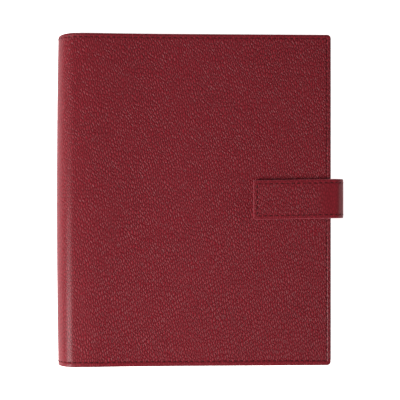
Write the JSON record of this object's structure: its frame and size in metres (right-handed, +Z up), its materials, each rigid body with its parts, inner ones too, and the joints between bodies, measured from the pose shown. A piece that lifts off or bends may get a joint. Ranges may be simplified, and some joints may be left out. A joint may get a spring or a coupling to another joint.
{
  "type": "coin album",
  "caption": "Closed ring album for coins in pebbled dark red leather, with a stitched edge, a magnetic strap closure and clear leaves on a ring mechanism.",
  "frame": {"origin": "middle of the underside of the closed album's box, strap included", "axes": "+X from the spine to the fore-edge, +Y along the spine, +Z up through the covers"},
  "size_m": [0.204, 0.235, 0.0361],
  "materials": {
    "red_leather": "pebbled, satin",
    "lining": "smooth, matt",
    "board": "raw grey board",
    "nickel_steel": "nickel plated, polished",
    "clear_film": "clear, glossy"
  },
  "bodies": {
    "back_cover": {"back_leather": "red_leather", "back_board": "board", "back_lining": "lining", "strap_anchor": "red_leather", "ring_plate": "nickel_steel", "lever_pins": "nickel_steel", "plate_rivets": "nickel_steel"},
    "spine": {"spine_leather": "red_leather", "spine_card": "board", "spine_lining": "lining"},
    "front_cover": {"front_leather": "red_leather", "front_board": "board", "front_lining": "lining", "cover_magnet": "nickel_steel"},
    "ring_left": {"blade_left": "nickel_steel", "ring_halves_left": "nickel_steel"},
    "ring_right": {"blade_right": "nickel_steel", "ring_halves_right": "nickel_steel"},
    "lever_top": {"lever_top": "nickel_steel"},
    "lever_bottom": {"lever_bottom": "nickel_steel"},
    "strap_bridge": {"strap_bridge": "red_leather"},
    "strap_tongue": {"strap_tongue": "red_leather", "strap_backing": "lining", "strap_magnet": "nickel_steel"},
    "leaf_1": {"leaf_1": "clear_film"},
    "leaf_2": {"leaf_2": "clear_film"},
    "leaf_3": {"leaf_3": "clear_film"},
    "leaf_4": {"leaf_4": "clear_film"},
    "leaf_5": {"leaf_5": "clear_film"},
    "leaf_6": {"leaf_6": "clear_film"},
    "leaf_7": {"leaf_7": "clear_film"},
    "leaf_8": {"leaf_8": "clear_film"}
  },
  "joints": [
    {"name": "front_cover_open", "type": "hinge", "parent": "spine", "child": "front_cover", "pos_m": [-0.0979, 0, 0.03197], "axis": [0, -1, 0], "range_deg": [0, 98.5]},
    {"name": "spine_fold", "type": "hinge", "parent": "back_cover", "child": "spine", "pos_m": [-0.0979, 0, 0.0041], "axis": [0, -1, 0], "range_deg": [0, 86.4]},
    {"name": "rings_open", "type": "hinge", "parent": "back_cover", "child": "ring_left", "pos_m": [-0.0883, 0, 0.004], "axis": [0, -1, 0], "range_deg": [0, 8]},
    {"name": "ring_right_open", "type": "hinge", "parent": "back_cover", "child": "ring_right", "pos_m": [-0.0717, 0, 0.004], "axis": [0, 1, 0], "range_deg": [0, 8]},
    {"name": "lever_top_press", "type": "hinge", "parent": "back_cover", "child": "lever_top", "pos_m": [-0.08, 0.0855, 0.0055], "axis": [-1, 0, 0], "range_deg": [0, 24.01]},
    {"name": "lever_bottom_press", "type": "hinge", "parent": "back_cover", "child": "lever_bottom", "pos_m": [-0.08, -0.0855, 0.0055], "axis": [1, 0, 0], "range_deg": [0, 24.01]},
    {"name": "strap_bridge_swing", "type": "hinge", "parent": "back_cover", "child": "strap_bridge", "pos_m": [0.0998, 0, 0.0028], "axis": [0, 1, 0], "range_deg": [0, 88]},
    {"name": "strap_tongue_lift", "type": "hinge", "parent": "strap_bridge", "child": "strap_tongue", "pos_m": [0.0998, 0, 0.02164], "axis": [0, 1, 0], "range_deg": [0, 86]},
    {"name": "leaf_1_turn", "type": "hinge", "parent": "back_cover", "child": "leaf_1", "pos_m": [-0.08, 0, 0.0164], "axis": [0, -1, 0], "range_deg": [0, 184.7]},
    {"name": "leaf_2_turn", "type": "hinge", "parent": "back_cover", "child": "leaf_2", "pos_m": [-0.08, 0, 0.0164], "axis": [0, -1, 0], "range_deg": [0, 184.7]},
    {"name": "leaf_3_turn", "type": "hinge", "parent": "back_cover", "child": "leaf_3", "pos_m": [-0.08, 0, 0.0164], "axis": [0, -1, 0], "range_deg": [0, 184.7]},
    {"name": "leaf_4_turn", "type": "hinge", "parent": "back_cover", "child": "leaf_4", "pos_m": [-0.08, 0, 0.0164], "axis": [0, -1, 0], "range_deg": [0, 184.7]},
    {"name": "leaf_5_turn", "type": "hinge", "parent": "back_cover", "child": "leaf_5", "pos_m": [-0.08, 0, 0.0164], "axis": [0, -1, 0], "range_deg": [0, 184.7]},
    {"name": "leaf_6_turn", "type": "hinge", "parent": "back_cover", "child": "leaf_6", "pos_m": [-0.08, 0, 0.0164], "axis": [0, -1, 0], "range_deg": [0, 184.7]},
    {"name": "leaf_7_turn", "type": "hinge", "parent": "back_cover", "child": "leaf_7", "pos_m": [-0.08, 0, 0.0164], "axis": [0, -1, 0], "range_deg": [0, 184.7]},
    {"name": "leaf_8_turn", "type": "hinge", "parent": "back_cover", "child": "leaf_8", "pos_m": [-0.08, 0, 0.0164], "axis": [0, -1, 0], "range_deg": [0, 184.7]}
  ],
  "couplings": [
    {"joint": "spine_fold", "follows": "front_cover_open", "ratio": 0.877},
    {"joint": "ring_right_open", "follows": "rings_open", "ratio": 1},
    {"joint": "lever_top_press", "follows": "rings_open", "ratio": 3},
    {"joint": "lever_bottom_press", "follows": "rings_open", "ratio": 3},
    {"joint": "leaf_1_turn", "follows": "front_cover_open", "ratio": 1.875},
    {"joint": "leaf_2_turn", "follows": "front_cover_open", "ratio": 1.875},
    {"joint": "leaf_3_turn", "follows": "front_cover_open", "ratio": 1.875},
    {"joint": "leaf_4_turn", "follows": "front_cover_open", "ratio": 1.875},
    {"joint": "leaf_5_turn", "follows": "front_cover_open", "ratio": 1.875},
    {"joint": "leaf_6_turn", "follows": "front_cover_open", "ratio": 1.875},
    {"joint": "leaf_7_turn", "follows": "front_cover_open", "ratio": 1.875},
    {"joint": "leaf_8_turn", "follows": "front_cover_open", "ratio": 1.875}
  ]
}
